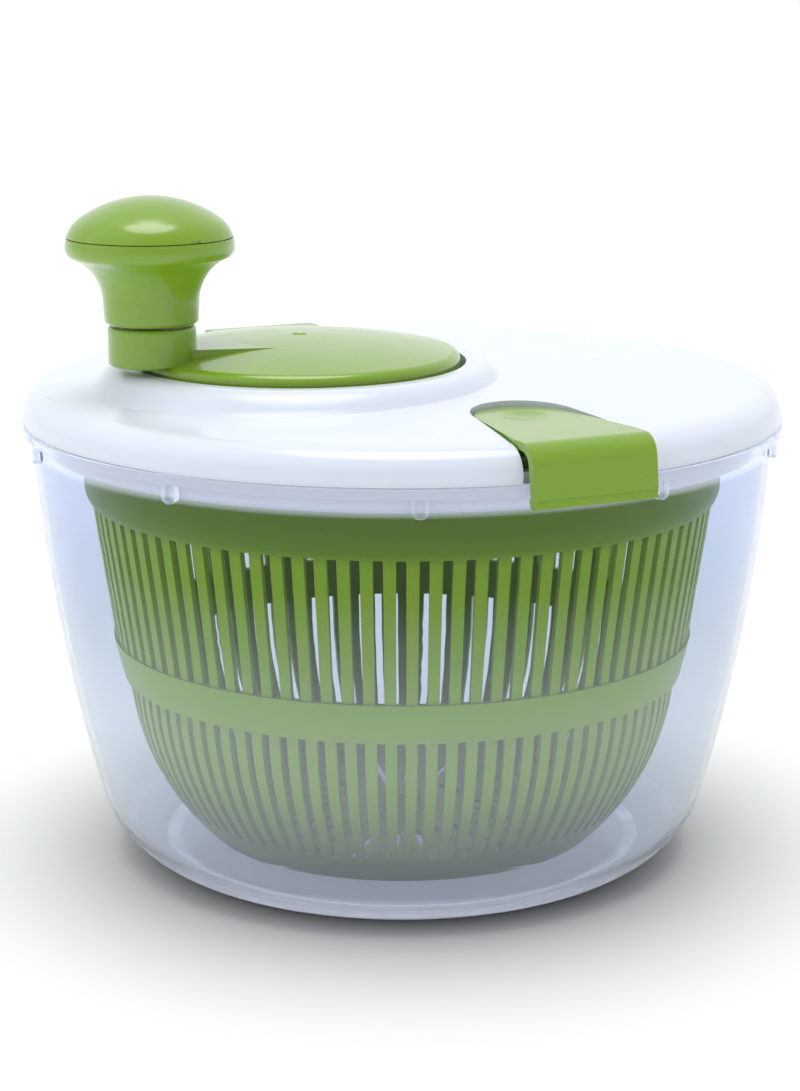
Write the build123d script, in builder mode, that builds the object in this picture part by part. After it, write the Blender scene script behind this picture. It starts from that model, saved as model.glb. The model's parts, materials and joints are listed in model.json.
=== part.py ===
from build123d import *
import os
from math import acos, cos, pi, radians, sin, tan

# A manual salad spinner: clear bowl, slotted basket, domed lid with an off-centre crank that
# turns the basket through an internal gear, and two rocker latches.
# Millimetres. +Z is up, the origin is the centre of the bowl's foot, the latches are at -Y and +Y.

os.makedirs("parts", exist_ok=True)

# ---------------------------------------------------------------- driving dimensions
EDGE = 0.8  # bevel on small moulded edges

# bowl
FLANGE_R = 132.0  # outside radius of the rim flange
FLANGE_OVERHANG = 3.2  # flange edge to the outside of the wall
FLANGE_THICK = 3.4
BOWL_HEIGHT = 155.6  # table to the top of the flange
BOWL_WALL = 2.2
BOWL_TAPER = 20.8  # how much smaller the wall is at the knee than at the rim
BOWL_BELLY = 3.3  # how far the wall bows out between knee and rim
KNEE_Z = 24.0
CORNER_REACH = 22.0  # knee to foot, radially
FOOT_WIDTH = 5.0
FOOT_RISE = 1.2
BOWL_FLOOR = 3.4  # top of the floor
PIVOT_R = 4.0
PIVOT_TOP = 14.0
PIVOT_FIT = 0.1  # top of the pivot to the basket's hub
PIVOT_BASE_R = 9.0
PIVOT_BASE_RISE = 1.6
LUG_COUNT = 10
LUG_PHASE = 30.4  # degrees
LUG_WIDTH = 5.2
LUG_DROP = 6.2  # below the flange
LUG_WALL = 1.1
LUG_ROOT = 1.0  # lug sunk into the flange
LUG_INSET = 1.0  # lug face to flange edge

# basket
SPIN_GAP = 15.4  # bowl wall to basket rim
BASKET_WALL = 2.2
BASKET_RIM_DROP = 8.1  # below the top of the flange
BAND_TALL = 13.5  # straight part of the rim band
BAND_CURL = 5.8  # curved lower part of the rim band
BAND_CURL_IN = 1.6
RIB_INSET = 2.4  # band to the ribs' top ends
MID_BAND_LOW = 57.6  # all heights from the basket's underside
MID_BAND_HIGH = 71.3
MID_BAND_PROUD = 2.0
MID_BAND_TAPER = 3.2
RIB_STEP = 0.8
LOWER_TOP_INSET = 14.0  # band to the lower ribs' top ends
BASE_INSET = 40.7  # band to the edge of the base
BASE_BOW = 4.6  # how far the lower side bows out
BASE_LIFT = 4.3  # bowl floor to the basket's underside
LOWER_SLOT_START = 11.4
SLOT_COUNT = 93
SLOT_WIDTH_HIGH = 3.2
SLOT_WIDTH_LOW = 2.7
FLOOR_SLOT_COUNT = 24
FLOOR_SLOT_WIDTH = 3.0
FLOOR_SLOT_START_R = 25.0
FLOOR_SLOT_MARGIN = 11.5  # slots' outer ends to the edge of the base
HUB_WALL = 3.0
HUB_ROOF = 2.5
DOG_COUNT = 8
DOG_WIDTH = 2.5
DOG_TALL = 10.0

# gears
MODULE = 1.5
PRESSURE = radians(25)
RING_TEETH = 66
PINION_TEETH = 14
RING_ADDENDUM = 0.9
PINION_ADDENDUM = 1.2
ROOT_GAP = 0.3
BACKLASH = 0.12
PINION_FACE = 6.0
RING_FACE = 7.0
RING_WEB = 2.4
RING_RIM = 2.2
RING_SCREW_IN = 5.6  # screws inside the ring's teeth
RING_SCREWS = 6

# lid
LID_SEAT_GAP = 0.3
LID_INSET = 0.7  # lid edge inside the flange edge
LID_WALL = 2.4
LID_EDGE_TALL = 2.8
LID_SHOULDER_IN = 7.8
LID_SHOULDER_TALL = 8.5
LID_CROWN = 5.2
SKIRT_WALL = 2.3
SKIRT_DROP = 9.4
SKIRT_TAPER = 3.0
SKIRT_FIT = 0.6
WELL_GAP = 2.0
WELL_WALL = 2.2
WELL_FLOOR = 2.4
WELL_DEPTH = 11.2  # floor of the well below the lid's crown
COLLAR_RISE = 4.0  # collar's crest above the lid's crown
COLLAR_CREST = 3.5
COLLAR_SLOPE = 14.5
COLLAR_FOOT = 4.6  # how far the slope runs on below the crown
LINER_THICK = 2.0
LINER_DROP = 4.5  # lid's edge down to the top of the liner
LINER_GAP = 2.6
LINER_SCREW_IN = 12.1  # screws inside the liner's edge
LINER_SCREW_ANGLES = (0, 50, 130, 180, 230, 310)
LINER_BOSS_R = 4.0

# bushes and shafts
BUSH_WALL = 2.2
BUSH_FLANGE = 0.8
BUSH_FLANGE_R = 2.2
BUSH_BOSS = 1.6
END_PLAY = 0.3
RUN_FIT = 0.05
CRANK_STUB_R = 6.0
PINION_SHAFT_R = 4.0
DRIVE_SQUARE = 5.4
DRIVE_SQUARE_TALL = 7.0
SQUARE_FIT = 0.1

# crank
RING_TO_DISC = 0.2  # ring gear to the inside of the disc's skirt
DISC_WALL = 1.6
DISC_TOP = 2.4
DISC_RISE = 13.0  # crank's crown above the lid's crown
DISC_CROWN = 5.4
DISC_EDGE_IN = 2.5
DISC_EDGE_TALL = 3.1
DISC_SKIRT = 6.6
CRANK_HUB_R = 9.5
ARM_LENGTH = 53.3
ARM_ROOT_R = 22.5
ARM_END_R = 8.5
ARM_DRAFT = 8.0  # degrees
ARM_DROP = 1.1  # the arm's flat top below the disc's crown
BOSS_R = 14.7
BOSS_TOP = 6.6  # above the disc's crown
BOSS_UNDER = 6.6  # below the disc's crown
BOSS_EDGE = 1.4
DIMPLE_R = 2.8
DIMPLE_DEEP = 1.0

# knob
KNOB_GAP = 0.8
KNOB_NECK_R = 15.6
KNOB_NECK_TALL = 7.7
KNOB_NECK_DRAFT = 0.4
KNOB_FLARE_TALL = 21.7
KNOB_R = 28.0
KNOB_BELLY = 25.0
KNOB_SEAM = 28.2
KNOB_SHOULDER_R = 23.0
KNOB_SHOULDER = 34.6
KNOB_TALL = 41.8
KNOB_WALL = 2.2
KNOB_HUB_R = 7.4
KNOB_HUB_TALL = 18.2
SEAM_GAP = 0.35
CAP_PLUG_TALL = 3.5
CAP_PLUG_WALL = 1.6
CAP_FIT = 0.1
SPINDLE_R = 4.0
SPINDLE_SUNK = 11.0
PRY_WIDTH = 3.6
PRY_ANGLE = -78.0

# latches
LATCH_WIDTH = 43.5
LATCH_GAP = 0.6
LATCH_TIP_GAP = 1.4  # the tongue's end moves in as it is pressed
LATCH_WALL = 2.6
LATCH_PAD_IN = 42.0  # middle of the press dimple inside the flange edge
LATCH_END_R = 16.5
LATCH_TIP_Z = 13.0  # heights above the lid's edge
LATCH_BEND_Z = 12.6
LATCH_BOTTOM = -6.9
LATCH_BEND_OUT = 1.4  # bend's corner and skirt's bottom, beyond the flange edge
LATCH_SKIRT_OUT = 4.0
LATCH_BEND_R = 7.0
LATCH_STEP = 0.35
LATCH_STEP_TALL = 3.0
NIB_GAP = 0.35
NIB_TALL = 2.7
PAD_R = 8.3
PAD_DEEP = 1.0
PIN_R = 1.5
PIN_IN = 10.5  # hinge pin inside the flange edge
PIN_Z = 6.4
EAR_R = 2.7
EAR_WIDTH = 3.0
EAR_OFFSET = 17.0
POCKET_FLOOR = 3.4
POCKET_FLOOR_WALL = 2.2
POCKET_WALL = 2.2
NOTCH_IN = 4.2

# drive plate
PLATE_THICK = 2.2
PLATE_GAP = 1.0  # basket band to the plate's lugs
PLATE_LUG = 2.8
PLATE_LUG_WIDTH = 8.0
PLATE_LUG_GAP = 0.5
PLATE_RIM_WALL = 2.6
PLATE_RIM_TALL = 11.0
PLATE_HUB_R = 9.0
PLATE_HUB_FLOOR = 1.5
PLATE_WINDOWS = 8
PLATE_WINDOW_START_R = 32.0
PLATE_WINDOW_MARGIN = 19.0  # windows' outer ends to the edge of the plate
PLATE_WINDOW_WIDTH = 20.0
LINER_TO_HUB = 0.3
HUB_TO_PLATE = 4.0

# fasteners
SCREW_R = 1.5
SCREW_HEAD_R = 2.8
SCREW_HEAD = 1.5
SCREW_SLOT = 0.8
HOLE_FIT = 0.1
SCREW_POINT = 1.0  # length and half of the narrowing at a screw's end
HOLE_DEEPER = 1.0  # hole beyond the end of its screw
LINER_SCREW_LENGTH = 9.0
RING_SCREW_LENGTH = 8.0
CENTRE_SCREW_LENGTH = 11.0
KNOB_SCREW_LENGTH = 10.0
WASHER_THICK = 1.0
WASHER_OVER = 2.5

# ---------------------------------------------------------------- worked-out places
RIM_R = FLANGE_R - FLANGE_OVERHANG
FLANGE_LOW = BOWL_HEIGHT - FLANGE_THICK
KNEE_R = RIM_R - BOWL_TAPER
FOOT_R = KNEE_R - CORNER_REACH

BAND_R = RIM_R - BOWL_WALL - SPIN_GAP
BASKET_LOW = BOWL_FLOOR + BASE_LIFT
BASKET_TOP = BOWL_HEIGHT - BASKET_RIM_DROP
BAND_LOW = BASKET_TOP - BAND_TALL - BAND_CURL
MID_LOW = BASKET_LOW + MID_BAND_LOW
MID_HIGH = BASKET_LOW + MID_BAND_HIGH
BASE_R = BAND_R - BASE_INSET
LOWER_R = BAND_R - LOWER_TOP_INSET

CRANK_OFFSET = MODULE * (RING_TEETH - PINION_TEETH) / 2
CRANK_X = -CRANK_OFFSET
RING_PITCH_R = MODULE * RING_TEETH / 2
PINION_PITCH_R = MODULE * PINION_TEETH / 2
RING_ROOT_R = RING_PITCH_R + PINION_ADDENDUM + ROOT_GAP
RING_TIP_R = RING_PITCH_R - RING_ADDENDUM
RING_OUTER_R = RING_ROOT_R + RING_RIM
RING_SCREW_R = RING_TIP_R - RING_SCREW_IN
DISC_R = RING_OUTER_R + RING_TO_DISC + DISC_WALL

LID_R = FLANGE_R - LID_INSET
LID_EDGE = BOWL_HEIGHT + LID_SEAT_GAP
SHOULDER_Z = LID_EDGE + LID_EDGE_TALL
CROWN_EDGE_Z = SHOULDER_Z + LID_SHOULDER_TALL
CROWN_Z = CROWN_EDGE_Z + LID_CROWN
CROWN_EDGE_R = LID_R - LID_SHOULDER_IN
WELL_R = DISC_R + WELL_GAP
WELL_TOP = CROWN_Z - WELL_DEPTH
WELL_UNDER = WELL_TOP - WELL_FLOOR
BOSS_LOW = WELL_UNDER - BUSH_BOSS
LINER_TOP = LID_EDGE - LINER_DROP
LINER_LOW = LINER_TOP - LINER_THICK
SKIRT_TOP_R = RIM_R - BOWL_WALL - SKIRT_FIT
SKIRT_LOW_R = SKIRT_TOP_R - SKIRT_TAPER
LINER_R = SKIRT_LOW_R - SKIRT_WALL - LINER_GAP
LINER_SCREW_R = LINER_R - LINER_SCREW_IN

GEAR_LOW = WELL_TOP + BUSH_FLANGE + END_PLAY
RING_LOW = GEAR_LOW + END_PLAY
RING_HIGH = RING_LOW + RING_FACE
WEB_HIGH = RING_HIGH + RING_WEB

DISC_CROWN_Z = CROWN_Z + DISC_RISE
DISC_EDGE_Z = DISC_CROWN_Z - DISC_CROWN
DISC_SIDE_Z = DISC_EDGE_Z - DISC_EDGE_TALL
DISC_LOW = DISC_SIDE_Z - DISC_SKIRT
BOSS_TOP_Z = DISC_CROWN_Z + BOSS_TOP
BOSS_LOW_Z = DISC_CROWN_Z - BOSS_UNDER
KNOB_X = CRANK_X - ARM_LENGTH
KNOB_LOW = BOSS_TOP_Z + KNOB_GAP
SPINDLE_LOW = BOSS_TOP_Z - SPINDLE_SUNK
SPINDLE_TOP = KNOB_LOW + KNOB_HUB_TALL + END_PLAY

STUB_LOW = BOSS_LOW - END_PLAY
HUB_HIGH = LINER_LOW - LINER_TO_HUB
PLATE_HIGH = HUB_HIGH - HUB_TO_PLATE
SQUARE_HIGH = HUB_HIGH + END_PLAY
SQUARE_LOW = SQUARE_HIGH - DRIVE_SQUARE_TALL
HUB_LOW = SQUARE_LOW - PLATE_HUB_FLOOR
PLATE_LUG_R = BAND_R - BASKET_WALL - PLATE_GAP
PLATE_R = PLATE_LUG_R - PLATE_LUG

LATCH_PIN_R = FLANGE_R - PIN_IN
LATCH_PAD_R = FLANGE_R - LATCH_PAD_IN
LATCH_PIN_Z = LID_EDGE + PIN_Z
POCKET_Z = LID_EDGE + POCKET_FLOOR

CRANK_CENTRE = Plane(origin=(CRANK_X, 0, 0), x_dir=(1, 0, 0), z_dir=(0, -1, 0))
CRANK_AXIS = Axis((CRANK_X, 0, 0), (0, 0, 1))
KNOB_CENTRE = Plane(origin=(KNOB_X, 0, 0), x_dir=(1, 0, 0), z_dir=(0, -1, 0))
KNOB_AXIS = Axis((KNOB_X, 0, 0), (0, 0, 1))


# ---------------------------------------------------------------- shared forms
def polar(radius, angle):
    """Point at a radius and an angle in radians."""
    return (radius * cos(angle), radius * sin(angle))


def involute(angle):
    """The involute function of a pressure angle."""
    return tan(angle) - angle


def gear_outline(teeth, tip_r, root_r, thinning):
    """Face of an involute gear with a tooth centred on +X; thinning narrows each tooth."""
    pitch_r = MODULE * teeth / 2
    base_r = pitch_r * cos(PRESSURE)
    low_r = max(root_r, base_r)

    def half_angle(radius):
        rolled = acos(min(1.0, base_r / radius))
        return pi / (2 * teeth) - thinning / (2 * pitch_r) + involute(PRESSURE) - involute(rolled)

    with BuildSketch() as gear:
        with BuildLine():
            for tooth in range(teeth):
                middle = 2 * pi * tooth / teeth
                gap = middle + pi / teeth
                flank = [(r, half_angle(r)) for r in (low_r, (low_r + tip_r) / 2, tip_r)]
                rising = [polar(r, middle - a) for r, a in flank]
                falling = [polar(r, middle + a) for r, a in reversed(flank)]
                foot = half_angle(low_r)
                foot_in = polar(root_r, middle - foot)
                foot_out = polar(root_r, middle + foot)
                if low_r > root_r:
                    Line(foot_in, rising[0])
                    Line(falling[-1], foot_out)
                ThreePointArc(*rising)
                ThreePointArc(rising[-1], polar(tip_r, middle), falling[0])
                ThreePointArc(*falling)
                ThreePointArc(foot_out, polar(root_r, gap), polar(root_r, 2 * gap - middle - foot))
        make_face()
    return gear.sketch


def pan_screw(length):
    """Pan-head screw: the head's bearing face is on Z=0, the shank points up."""
    with BuildPart() as screw:
        with BuildSketch(Plane.XZ):
            with BuildLine():
                Line((0, length), (SCREW_R - SCREW_POINT / 2, length))
                Line((SCREW_R - SCREW_POINT / 2, length), (SCREW_R, length - SCREW_POINT))
                Line((SCREW_R, length - SCREW_POINT), (SCREW_R, 0))
                Line((SCREW_R, 0), (SCREW_HEAD_R, 0))
                ThreePointArc(
                    (SCREW_HEAD_R, 0),
                    (SCREW_HEAD_R * 0.8, -SCREW_HEAD * 0.75),
                    (0, -SCREW_HEAD),
                )
                Line((0, -SCREW_HEAD), (0, length))
            make_face()
        revolve(axis=Axis.Z)
        with BuildSketch(Plane.XY.offset(-SCREW_HEAD)):
            Rectangle(SCREW_HEAD_R * 1.2, SCREW_SLOT)
            Rectangle(SCREW_SLOT, SCREW_HEAD_R * 1.2)
        extrude(amount=SCREW_HEAD * 0.7, mode=Mode.SUBTRACT)
    return screw.part


def flush_screw(length):
    """Countersunk screw: the head's flat face is on Z=0, the shank points up."""
    head = SCREW_HEAD_R - SCREW_R
    with BuildPart() as screw:
        with BuildSketch(Plane.XZ):
            with BuildLine():
                Polyline(
                    (0, 0),
                    (SCREW_HEAD_R, 0),
                    (SCREW_R, head),
                    (SCREW_R, length - SCREW_POINT),
                    (SCREW_R - SCREW_POINT / 2, length),
                    (0, length),
                    close=True,
                )
            make_face()
        revolve(axis=Axis.Z)
        with BuildSketch(Plane.XY):
            Rectangle(SCREW_HEAD_R * 1.2, SCREW_SLOT)
            Rectangle(SCREW_SLOT, SCREW_HEAD_R * 1.2)
        extrude(amount=head * 0.6, mode=Mode.SUBTRACT)
    return screw.part


def latch_plan(margin, end_margin, outer_y):
    """Outline of the latch at -Y seen from above, grown by margin, and by end_margin at its inner end."""
    with BuildSketch() as plan:
        with Locations((0, -LATCH_PAD_R)):
            Circle(LATCH_END_R + end_margin)
        depth = outer_y - LATCH_PIN_R
        with Locations((0, -LATCH_PIN_R - depth / 2)):
            Rectangle(LATCH_WIDTH + 2 * margin, depth)
        make_hull()
    return plan.sketch


# ---------------------------------------------------------------- bowl
with BuildPart() as bowl_lug:
    with BuildSketch(Plane.YZ.offset(RIM_R - BOWL_WALL / 2)):
        with Locations((0, FLANGE_LOW - (LUG_DROP - LUG_WIDTH / 2) / 2 + LUG_ROOT / 2)):
            Rectangle(LUG_WIDTH, LUG_DROP - LUG_WIDTH / 2 + LUG_ROOT)
        with Locations((0, FLANGE_LOW - LUG_DROP + LUG_WIDTH / 2)):
            Circle(LUG_WIDTH / 2)
    extrude(amount=FLANGE_R - LUG_INSET - RIM_R + BOWL_WALL / 2)
    with BuildSketch(Plane.YZ.offset(RIM_R + BOWL_WALL / 2)):
        inner_width = LUG_WIDTH - 2 * LUG_WALL
        with Locations((0, FLANGE_LOW - (LUG_DROP - LUG_WIDTH / 2) / 2)):
            Rectangle(inner_width, LUG_DROP - LUG_WIDTH / 2)
        with Locations((0, FLANGE_LOW - LUG_DROP + LUG_WIDTH / 2)):
            Circle(inner_width / 2)
    extrude(amount=FLANGE_OVERHANG, mode=Mode.SUBTRACT)

with BuildPart() as bowl:
    with BuildSketch(Plane.XZ):
        with BuildLine():
            outer_wall = ThreePointArc(
                (RIM_R, FLANGE_LOW),
                ((RIM_R + KNEE_R) / 2 + BOWL_BELLY, (FLANGE_LOW + KNEE_Z) / 2),
                (KNEE_R, KNEE_Z),
            )
            TangentArc(outer_wall @ 1, (FOOT_R, 0), tangent=outer_wall % 1)
            inner_wall = ThreePointArc(
                (RIM_R - BOWL_WALL, BOWL_HEIGHT),
                ((RIM_R + KNEE_R) / 2 + BOWL_BELLY - BOWL_WALL, (FLANGE_LOW + KNEE_Z) / 2),
                (KNEE_R - BOWL_WALL, KNEE_Z),
            )
            inner_foot = (FOOT_R - BOWL_WALL / 2, BOWL_FLOOR)
            TangentArc(inner_wall @ 1, inner_foot, tangent=inner_wall % 1)
            Polyline(
                inner_foot,
                (PIVOT_BASE_R + PIVOT_BASE_RISE, BOWL_FLOOR),
                (PIVOT_BASE_R, BOWL_FLOOR + PIVOT_BASE_RISE),
                (PIVOT_R, BOWL_FLOOR + PIVOT_BASE_RISE),
                (PIVOT_R, PIVOT_TOP - EDGE),
                (PIVOT_R - EDGE, PIVOT_TOP),
                (0, PIVOT_TOP),
                (0, FOOT_RISE),
                (FOOT_R - FOOT_WIDTH - FOOT_RISE, FOOT_RISE),
                (FOOT_R - FOOT_WIDTH, 0),
                (FOOT_R, 0),
            )
            Polyline(
                (RIM_R, FLANGE_LOW),
                (FLANGE_R, FLANGE_LOW),
                (FLANGE_R, BOWL_HEIGHT),
                (RIM_R - BOWL_WALL, BOWL_HEIGHT),
            )
        make_face()
        fillet(vertices().group_by(Axis.X)[-1], radius=FLANGE_THICK / 5)
    revolve(axis=Axis.Z)
    with PolarLocations(0, LUG_COUNT, start_angle=LUG_PHASE):
        add(bowl_lug.part)
bowl.part.label = "bowl"
export_step(bowl.part, "parts/bowl.step")

# ---------------------------------------------------------------- basket
HUB_BORE_R = PIVOT_R + RUN_FIT
HUB_ROOF_Z = PIVOT_TOP + PIVOT_FIT

with BuildPart() as high_slot:
    with Locations((BAND_R, 0, (BAND_LOW + MID_HIGH) / 2)):
        Box(4 * LOWER_TOP_INSET, SLOT_WIDTH_HIGH, BAND_LOW - MID_HIGH)

with BuildPart() as low_slot:
    with Locations((BAND_R - BASE_INSET / 2, 0, (MID_LOW + BASKET_LOW + LOWER_SLOT_START) / 2)):
        Box(BASE_INSET + 2 * RIB_INSET, SLOT_WIDTH_LOW, MID_LOW - BASKET_LOW - LOWER_SLOT_START)

with BuildPart() as basket:
    with BuildSketch(Plane.XZ):
        with BuildLine():
            low = ThreePointArc(
                (BASE_R, BASKET_LOW),
                ((BASE_R + LOWER_R) / 2 + BASE_BOW, (BASKET_LOW + MID_LOW) / 2 - BASE_BOW),
                (LOWER_R, MID_LOW),
            )
            band_r = LOWER_R + MID_BAND_PROUD
            rib_low_r = band_r + MID_BAND_TAPER - RIB_STEP
            rib_high_r = BAND_R - RIB_INSET
            Polyline(
                low @ 1,
                (band_r, MID_LOW),
                (band_r + MID_BAND_TAPER, MID_HIGH),
                (rib_low_r, MID_HIGH),
                (rib_high_r, BAND_LOW),
                (BAND_R - BAND_CURL_IN, BAND_LOW),
            )
            curl = TangentArc(
                (BAND_R, BAND_LOW + BAND_CURL),
                (BAND_R - BAND_CURL_IN, BAND_LOW),
                tangent=(0, -1),
            )
            Polyline(
                (BAND_R, BAND_LOW + BAND_CURL),
                (BAND_R, BASKET_TOP),
                (BAND_R - BASKET_WALL, BASKET_TOP),
                (BAND_R - BASKET_WALL, BAND_LOW + BAND_CURL),
                (rib_high_r - BASKET_WALL, BAND_LOW),
                (rib_low_r - BASKET_WALL, MID_HIGH),
                (LOWER_R - BASKET_WALL, MID_LOW),
            )
            ThreePointArc(
                (LOWER_R - BASKET_WALL, MID_LOW),
                (
                    (BASE_R + LOWER_R) / 2 + BASE_BOW - BASKET_WALL * 0.8,
                    (BASKET_LOW + MID_LOW) / 2 - BASE_BOW + BASKET_WALL * 0.5,
                ),
                (BASE_R - BASKET_WALL / 2, BASKET_LOW + BASKET_WALL),
            )
            Polyline(
                (BASE_R - BASKET_WALL / 2, BASKET_LOW + BASKET_WALL),
                (HUB_BORE_R + HUB_WALL, BASKET_LOW + BASKET_WALL),
                (HUB_BORE_R + HUB_WALL, HUB_ROOF_Z + HUB_ROOF - EDGE),
                (HUB_BORE_R + HUB_WALL - EDGE, HUB_ROOF_Z + HUB_ROOF),
                (0, HUB_ROOF_Z + HUB_ROOF),
                (0, HUB_ROOF_Z),
                (HUB_BORE_R, HUB_ROOF_Z),
                (HUB_BORE_R, BASKET_LOW),
                (BASE_R, BASKET_LOW),
            )
        make_face()
    revolve(axis=Axis.Z)
    with PolarLocations(0, SLOT_COUNT):
        add(high_slot.part, mode=Mode.SUBTRACT)
        add(low_slot.part, mode=Mode.SUBTRACT)
    floor_slot_end = BASE_R - FLOOR_SLOT_MARGIN
    with BuildSketch(Plane.XY.offset(BASKET_LOW)):
        with PolarLocations((FLOOR_SLOT_START_R + floor_slot_end) / 2, FLOOR_SLOT_COUNT):
            SlotOverall(floor_slot_end - FLOOR_SLOT_START_R, FLOOR_SLOT_WIDTH)
    extrude(amount=BASKET_WALL, mode=Mode.SUBTRACT)
    dog_step = PLATE_LUG_WIDTH / 2 + PLATE_LUG_GAP + DOG_WIDTH / 2
    dog_in = PLATE_R + PLATE_GAP
    dog_out = BAND_R - BASKET_WALL / 2
    with BuildSketch(Plane.XY.offset(PLATE_HIGH - DOG_TALL)):
        with PolarLocations(0, DOG_COUNT):
            with Locations(((dog_in + dog_out) / 2, dog_step), ((dog_in + dog_out) / 2, -dog_step)):
                Rectangle(dog_out - dog_in, DOG_WIDTH)
    extrude(amount=DOG_TALL)
basket.part.label = "basket"
export_step(basket.part, "parts/basket.step")

# ---------------------------------------------------------------- lid
with BuildPart() as lid_envelope:
    with BuildSketch(Plane.XZ):
        with BuildLine():
            crown = TangentArc((0, CROWN_Z), (CROWN_EDGE_R, CROWN_EDGE_Z), tangent=(1, 0))
            TangentArc(crown @ 1, (LID_R, SHOULDER_Z), tangent=crown % 1)
            Polyline((LID_R, SHOULDER_Z), (LID_R, LID_EDGE), (0, LID_EDGE), (0, CROWN_Z))
        make_face()
    revolve(axis=Axis.Z)
    with BuildSketch(CRANK_CENTRE):
        with BuildLine():
            crest_z = CROWN_Z + COLLAR_RISE
            slope = Spline(
                (WELL_R + COLLAR_CREST, crest_z),
                (WELL_R + COLLAR_CREST + COLLAR_SLOPE, CROWN_Z - COLLAR_FOOT),
                tangents=[(1, 0), (1, 0)],
            )
            Polyline(
                slope @ 1,
                (WELL_R + COLLAR_CREST + COLLAR_SLOPE, WELL_TOP),
                (0, WELL_TOP),
                (0, crest_z),
                slope @ 0,
            )
        make_face()
    revolve(axis=CRANK_AXIS)

with BuildPart() as lid_pockets:
    with BuildSketch(Plane.XY.offset(POCKET_Z - POCKET_FLOOR_WALL)):
        front_plan = latch_plan(LATCH_GAP + POCKET_WALL, LATCH_TIP_GAP + POCKET_WALL, LID_R)
        with PolarLocations(0, 2):
            add(front_plan)
    extrude(amount=CROWN_Z - POCKET_Z + POCKET_FLOOR_WALL)
    seat_depth = LID_R - LATCH_PIN_R + EAR_R
    with BuildSketch(Plane.XY.offset(LID_EDGE)):
        with PolarLocations(LID_R - seat_depth / 2, 2, start_angle=90):
            Rectangle(seat_depth, LATCH_WIDTH + 2 * (LATCH_GAP + POCKET_WALL))
    extrude(amount=POCKET_FLOOR)
    with BuildSketch(Plane.XY.offset(WELL_UNDER)):
        with Locations((CRANK_X, 0)):
            Circle(WELL_R + WELL_WALL)
    extrude(amount=CROWN_Z + COLLAR_RISE - WELL_UNDER)
    add(lid_envelope.part, mode=Mode.INTERSECT)

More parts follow.
